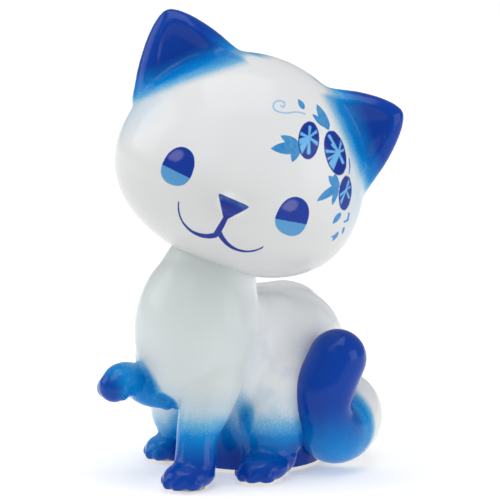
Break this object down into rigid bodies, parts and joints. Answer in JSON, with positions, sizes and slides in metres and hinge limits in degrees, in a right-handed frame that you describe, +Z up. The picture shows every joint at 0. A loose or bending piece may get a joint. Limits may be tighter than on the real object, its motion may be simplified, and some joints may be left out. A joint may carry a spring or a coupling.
{
  "type": "ceramic cat figurine",
  "caption": "Glazed ceramic figurine of a seated kitten, head tilted, one forepaw raised, tail curled round its haunch.",
  "frame": {"origin": "middle of the bounding box in plan, on the surface that the felt pads stand on", "axes": "+Z up, the kitten's body faces -Y, its left side is at +X"},
  "size_m": [0.0606, 0.071, 0.1153],
  "materials": {
    "white_glaze": "clear gloss glaze over white, with painted blue eyes, nose, mouth and flowers on the head",
    "blue_glaze": "clear gloss glaze over airbrushed blue that fades to white",
    "felt": "pressed wool felt"
  },
  "bodies": {
    "root": {"torso_shell": "white_glaze", "head_shell": "white_glaze", "left_ear": "blue_glaze", "right_ear": "blue_glaze", "left_foreleg": "blue_glaze", "right_foreleg": "blue_glaze", "left_hind_leg": "blue_glaze", "right_hind_leg": "blue_glaze", "tail": "blue_glaze", "front_felt_pad": "felt", "left_felt_pad": "felt", "right_felt_pad": "felt", "rear_felt_pad": "felt"}
  },
  "joints": []
}
